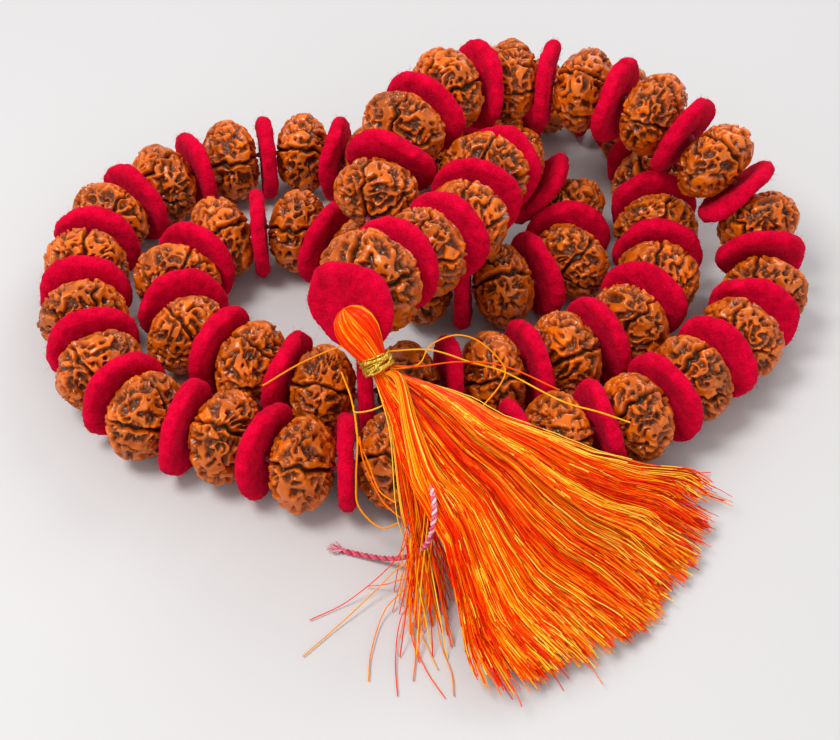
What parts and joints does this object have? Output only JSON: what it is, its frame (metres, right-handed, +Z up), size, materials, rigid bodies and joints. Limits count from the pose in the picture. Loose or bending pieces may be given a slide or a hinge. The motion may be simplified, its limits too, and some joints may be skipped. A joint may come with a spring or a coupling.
{
  "type": "mala prayer beads",
  "caption": "Folded string of rudraksha prayer beads with felt discs between them and a spread silk tassel below the guru bead.",
  "frame": {"origin": "on the table, under the middle of the heap's bounding box", "axes": "+X across the heap to the right, +Y away from the tassel, +Z up"},
  "size_m": [0.21, 0.2289, 0.0609],
  "materials": {
    "rudraksha": "carved-looking nut with a gloss varnish",
    "red_felt": "matt pressed wool felt",
    "stringing_cord": "matt twisted cotton",
    "tassel_silk": "glossy silk thread",
    "gold_thread": "bright metallic thread",
    "twisted_cord": "two-ply twisted cotton"
  },
  "bodies": {
    "strand": {"felt_discs": "red_felt", "stringing_cord": "stringing_cord"},
    "bead_01": {"bead_01": "rudraksha"},
    "bead_02": {"bead_02": "rudraksha"},
    "bead_03": {"bead_03": "rudraksha"},
    "bead_04": {"bead_04": "rudraksha"},
    "bead_05": {"bead_05": "rudraksha"},
    "bead_06": {"bead_06": "rudraksha"},
    "bead_07": {"bead_07": "rudraksha"},
    "bead_08": {"bead_08": "rudraksha"},
    "bead_09": {"bead_09": "rudraksha"},
    "bead_10": {"bead_10": "rudraksha"},
    "bead_11": {"bead_11": "rudraksha"},
    "bead_12": {"bead_12": "rudraksha"},
    "bead_13": {"bead_13": "rudraksha"},
    "bead_14": {"bead_14": "rudraksha"},
    "bead_15": {"bead_15": "rudraksha"},
    "bead_16": {"bead_16": "rudraksha"},
    "bead_17": {"bead_17": "rudraksha"},
    "bead_18": {"bead_18": "rudraksha"},
    "bead_19": {"bead_19": "rudraksha"},
    "bead_20": {"bead_20": "rudraksha"},
    "bead_21": {"bead_21": "rudraksha"},
    "bead_22": {"bead_22": "rudraksha"},
    "bead_23": {"bead_23": "rudraksha"},
    "bead_24": {"bead_24": "rudraksha"},
    "bead_25": {"bead_25": "rudraksha"},
    "bead_26": {"bead_26": "rudraksha"},
    "bead_27": {"bead_27": "rudraksha"},
    "bead_28": {"bead_28": "rudraksha"},
    "bead_29": {"bead_29": "rudraksha"},
    "bead_30": {"bead_30": "rudraksha"},
    "bead_31": {"bead_31": "rudraksha"},
    "bead_32": {"bead_32": "rudraksha"},
    "bead_33": {"bead_33": "rudraksha"},
    "bead_34": {"bead_34": "rudraksha"},
    "bead_35": {"bead_35": "rudraksha"},
    "bead_36": {"bead_36": "rudraksha"},
    "bead_37": {"bead_37": "rudraksha"},
    "bead_38": {"bead_38": "rudraksha"},
    "bead_39": {"bead_39": "rudraksha"},
    "bead_40": {"bead_40": "rudraksha"},
    "bead_41": {"bead_41": "rudraksha"},
    "bead_42": {"bead_42": "rudraksha"},
    "bead_43": {"bead_43": "rudraksha"},
    "bead_44": {"bead_44": "rudraksha"},
    "bead_45": {"bead_45": "rudraksha"},
    "bead_46": {"bead_46": "rudraksha"},
    "bead_47": {"bead_47": "rudraksha"},
    "bead_48": {"bead_48": "rudraksha"},
    "bead_49": {"bead_49": "rudraksha"},
    "bead_50": {"bead_50": "rudraksha"},
    "bead_51": {"bead_51": "rudraksha"},
    "bead_52": {"bead_52": "rudraksha"},
    "bead_53": {"bead_53": "rudraksha"},
    "guru_bead": {"guru_bead": "rudraksha"},
    "tassel": {"tassel_head": "tassel_silk", "gold_binding": "gold_thread", "tassel_skirt": "tassel_silk", "cord_tail": "twisted_cord"}
  },
  "joints": [
    {"name": "lift", "type": "hinge", "parent": "strand", "child": "tassel", "pos_m": [-0.01605, -0.04225, 0.0495], "axis": [-0.6428, -0.766, 0], "range_deg": [0, 75]},
    {"name": "spin_01", "type": "hinge", "parent": "strand", "child": "bead_01", "pos_m": [-0.01225, 0.02125, 0.038], "axis": [0.2953, 0.9086, 0.2953], "continuous": true},
    {"name": "spin_02", "type": "hinge", "parent": "strand", "child": "bead_02", "pos_m": [-0.00575, 0.04125, 0.0445], "axis": [0.4318, 0.887, 0.1634], "continuous": true},
    {"name": "spin_03", "type": "hinge", "parent": "strand", "child": "bead_03", "pos_m": [0.00625, 0.05925, 0.045], "axis": [0.7224, 0.6863, -0.0843], "continuous": true},
    {"name": "spin_04", "type": "hinge", "parent": "strand", "child": "bead_04", "pos_m": [0.02425, 0.06975, 0.041], "axis": [0.9801, 0.1633, -0.1131], "continuous": true},
    {"name": "spin_05", "type": "hinge", "parent": "strand", "child": "bead_05", "pos_m": [0.04525, 0.06575, 0.0405], "axis": [0.9308, -0.3653, -0.0118], "continuous": true},
    {"name": "spin_06", "type": "hinge", "parent": "strand", "child": "bead_06", "pos_m": [0.06375, 0.05425, 0.0405], "axis": [0.8059, -0.5723, -0.1518], "continuous": true},
    {"name": "spin_07", "type": "hinge", "parent": "strand", "child": "bead_07", "pos_m": [0.07975, 0.04125, 0.034], "axis": [0.6858, -0.5321, -0.4966], "continuous": true},
    {"name": "spin_08", "type": "hinge", "parent": "strand", "child": "bead_08", "pos_m": [0.09275, 0.03175, 0.0195], "axis": [0.3208, -0.7699, -0.5517], "continuous": true},
    {"name": "spin_09", "type": "hinge", "parent": "strand", "child": "bead_09", "pos_m": [0.09225, 0.01125, 0.0125], "axis": [-0.2447, -0.9543, -0.1713], "continuous": true},
    {"name": "spin_10", "type": "hinge", "parent": "strand", "child": "bead_10", "pos_m": [0.08275, -0.00725, 0.0125], "axis": [-0.5824, -0.8129, 0], "continuous": true},
    {"name": "spin_11", "type": "hinge", "parent": "strand", "child": "bead_11", "pos_m": [0.06825, -0.02225, 0.0125], "axis": [-0.725, -0.6887, 0], "continuous": true},
    {"name": "spin_12", "type": "hinge", "parent": "strand", "child": "bead_12", "pos_m": [0.05275, -0.03575, 0.0125], "axis": [-0.866, -0.5001, 0], "continuous": true},
    {"name": "spin_13", "type": "hinge", "parent": "strand", "child": "bead_13", "pos_m": [0.03275, -0.04275, 0.0125], "axis": [-0.9522, -0.3056, 0], "continuous": true},
    {"name": "spin_14", "type": "hinge", "parent": "strand", "child": "bead_14", "pos_m": [0.01225, -0.04875, 0.0125], "axis": [-0.9841, -0.1778, 0], "continuous": true},
    {"name": "spin_15", "type": "hinge", "parent": "strand", "child": "bead_15", "pos_m": [-0.00875, -0.05025, 0.0125], "axis": [-0.9982, -0.0594, 0], "continuous": true},
    {"name": "spin_16", "type": "hinge", "parent": "strand", "child": "bead_16", "pos_m": [-0.02975, -0.05125, 0.0125], "axis": [-0.981, 0.1938, 0], "continuous": true},
    {"name": "spin_17", "type": "hinge", "parent": "strand", "child": "bead_17", "pos_m": [-0.04925, -0.04225, 0.0125], "axis": [-0.9285, 0.3714, 0], "continuous": true},
    {"name": "spin_18", "type": "hinge", "parent": "strand", "child": "bead_18", "pos_m": [-0.06975, -0.03525, 0.0125], "axis": [-0.8283, 0.5603, 0], "continuous": true},
    {"name": "spin_19", "type": "hinge", "parent": "strand", "child": "bead_19", "pos_m": [-0.08325, -0.01925, 0.0125], "axis": [-0.5039, 0.8638, 0], "continuous": true},
    {"name": "spin_20", "type": "hinge", "parent": "strand", "child": "bead_20", "pos_m": [-0.09075, 0.00075, 0.0125], "axis": [-0.237, 0.9715, 0], "continuous": true},
    {"name": "spin_21", "type": "hinge", "parent": "strand", "child": "bead_21", "pos_m": [-0.09325, 0.02175, 0.0125], "axis": [0.0241, 0.9997, 0], "continuous": true},
    {"name": "spin_22", "type": "hinge", "parent": "strand", "child": "bead_22", "pos_m": [-0.08975, 0.04225, 0.0125], "axis": [0.4175, 0.9087, 0], "continuous": true},
    {"name": "spin_23", "type": "hinge", "parent": "strand", "child": "bead_23", "pos_m": [-0.07625, 0.05875, 0.0125], "axis": [0.7584, 0.6518, 0], "continuous": true},
    {"name": "spin_24", "type": "hinge", "parent": "strand", "child": "bead_24", "pos_m": [-0.05775, 0.06975, 0.0125], "axis": [0.9401, 0.3408, 0], "continuous": true},
    {"name": "spin_25", "type": "hinge", "parent": "strand", "child": "bead_25", "pos_m": [-0.03625, 0.07325, 0.0125], "axis": [0.9989, -0.0476, 0], "continuous": true},
    {"name": "spin_26", "type": "hinge", "parent": "strand", "child": "bead_26", "pos_m": [-0.01575, 0.06775, 0.0125], "axis": [0.9937, 0.1118, 0], "continuous": true},
    {"name": "spin_27", "type": "hinge", "parent": "strand", "child": "bead_27", "pos_m": [0.00375, 0.07775, 0.0125], "axis": [0.846, 0.5331, 0], "continuous": true},
    {"name": "spin_28", "type": "hinge", "parent": "strand", "child": "bead_28", "pos_m": [0.02075, 0.09075, 0.0125], "axis": [0.8098, 0.5868, 0], "continuous": true},
    {"name": "spin_29", "type": "hinge", "parent": "strand", "child": "bead_29", "pos_m": [0.03825, 0.10275, 0.0125], "axis": [0.968, 0.251, 0], "continuous": true},
    {"name": "spin_30", "type": "hinge", "parent": "strand", "child": "bead_30", "pos_m": [0.06125, 0.10125, 0.0125], "axis": [0.7602, -0.6497, 0], "continuous": true},
    {"name": "spin_31", "type": "hinge", "parent": "strand", "child": "bead_31", "pos_m": [0.06575, 0.07925, 0.0125], "axis": [0.1269, -0.9919, 0], "continuous": true},
    {"name": "spin_32", "type": "hinge", "parent": "strand", "child": "bead_32", "pos_m": [0.06675, 0.05825, 0.0125], "axis": [0, -1, 0], "continuous": true},
    {"name": "spin_33", "type": "hinge", "parent": "strand", "child": "bead_33", "pos_m": [0.06575, 0.03725, 0.0125], "axis": [-0.0721, -0.9974, 0], "continuous": true},
    {"name": "spin_34", "type": "hinge", "parent": "strand", "child": "bead_34", "pos_m": [0.06375, 0.01675, 0.0125], "axis": [-0.2828, -0.9592, 0], "continuous": true},
    {"name": "spin_35", "type": "hinge", "parent": "strand", "child": "bead_35", "pos_m": [0.05425, -0.00175, 0.0125], "axis": [-0.6628, -0.7488, 0], "continuous": true},
    {"name": "spin_36", "type": "hinge", "parent": "strand", "child": "bead_36", "pos_m": [0.03675, -0.01375, 0.0125], "axis": [-0.8847, -0.4662, 0], "continuous": true},
    {"name": "spin_37", "type": "hinge", "parent": "strand", "child": "bead_37", "pos_m": [0.01725, -0.02125, 0.0125], "axis": [-0.9628, -0.2701, 0], "continuous": true},
    {"name": "spin_38", "type": "hinge", "parent": "strand", "child": "bead_38", "pos_m": [-0.00425, -0.02525, 0.0125], "axis": [-0.9933, -0.1155, 0], "continuous": true},
    {"name": "spin_39", "type": "hinge", "parent": "strand", "child": "bead_39", "pos_m": [-0.02575, -0.02625, 0.0125], "axis": [-0.981, 0.1938, 0], "continuous": true},
    {"name": "spin_40", "type": "hinge", "parent": "strand", "child": "bead_40", "pos_m": [-0.04475, -0.01725, 0.0125], "axis": [-0.8719, 0.4897, 0], "continuous": true},
    {"name": "spin_41", "type": "hinge", "parent": "strand", "child": "bead_41", "pos_m": [-0.06225, -0.00575, 0.0125], "axis": [-0.5777, 0.8163, 0], "continuous": true},
    {"name": "spin_42", "type": "hinge", "parent": "strand", "child": "bead_42", "pos_m": [-0.06775, 0.01525, 0.0125], "axis": [0.124, 0.9923, 0], "continuous": true},
    {"name": "spin_43", "type": "hinge", "parent": "strand", "child": "bead_43", "pos_m": [-0.05725, 0.03425, 0.0125], "axis": [0.824, 0.5665, 0], "continuous": true},
    {"name": "spin_44", "type": "hinge", "parent": "strand", "child": "bead_44", "pos_m": [-0.03575, 0.03725, 0.0125], "axis": [0.9776, -0.2104, 0], "continuous": true},
    {"name": "spin_45", "type": "hinge", "parent": "strand", "child": "bead_45", "pos_m": [-0.01775, 0.02575, 0.0125], "axis": [0.8533, -0.5214, 0], "continuous": true},
    {"name": "spin_46", "type": "hinge", "parent": "strand", "child": "bead_46", "pos_m": [0.00025, 0.01525, 0.0125], "axis": [0.9558, -0.2941, 0], "continuous": true},
    {"name": "spin_47", "type": "hinge", "parent": "strand", "child": "bead_47", "pos_m": [0.02125, 0.01375, 0.0125], "axis": [0.9782, 0.2079, 0], "continuous": true},
    {"name": "spin_48", "type": "hinge", "parent": "strand", "child": "bead_48", "pos_m": [0.04025, 0.02375, 0.0125], "axis": [0.5241, 0.8517, 0], "continuous": true},
    {"name": "spin_49", "type": "hinge", "parent": "strand", "child": "bead_49", "pos_m": [0.04125, 0.04625, 0.0125], "axis": [-0.4807, 0.7866, 0.3875], "continuous": true},
    {"name": "spin_50", "type": "hinge", "parent": "strand", "child": "bead_50", "pos_m": [0.02375, 0.05075, 0.0258], "axis": [-0.6655, -0.386, 0.6389], "continuous": true},
    {"name": "spin_51", "type": "hinge", "parent": "strand", "child": "bead_51", "pos_m": [0.01625, 0.03175, 0.0365], "axis": [-0.3013, -0.9155, 0.2665], "continuous": true},
    {"name": "spin_52", "type": "hinge", "parent": "strand", "child": "bead_52", "pos_m": [0.01075, 0.01125, 0.0373], "axis": [-0.4009, -0.9095, 0.11], "continuous": true},
    {"name": "spin_53", "type": "hinge", "parent": "strand", "child": "bead_53", "pos_m": [-0.00015, -0.00545, 0.041], "axis": [-0.5631, -0.7977, 0.2159], "continuous": true},
    {"name": "spin_guru", "type": "hinge", "parent": "strand", "child": "guru_bead", "pos_m": [-0.01325, -0.02275, 0.0465], "axis": [0.4811, 0.8619, -0.1604], "continuous": true}
  ]
}
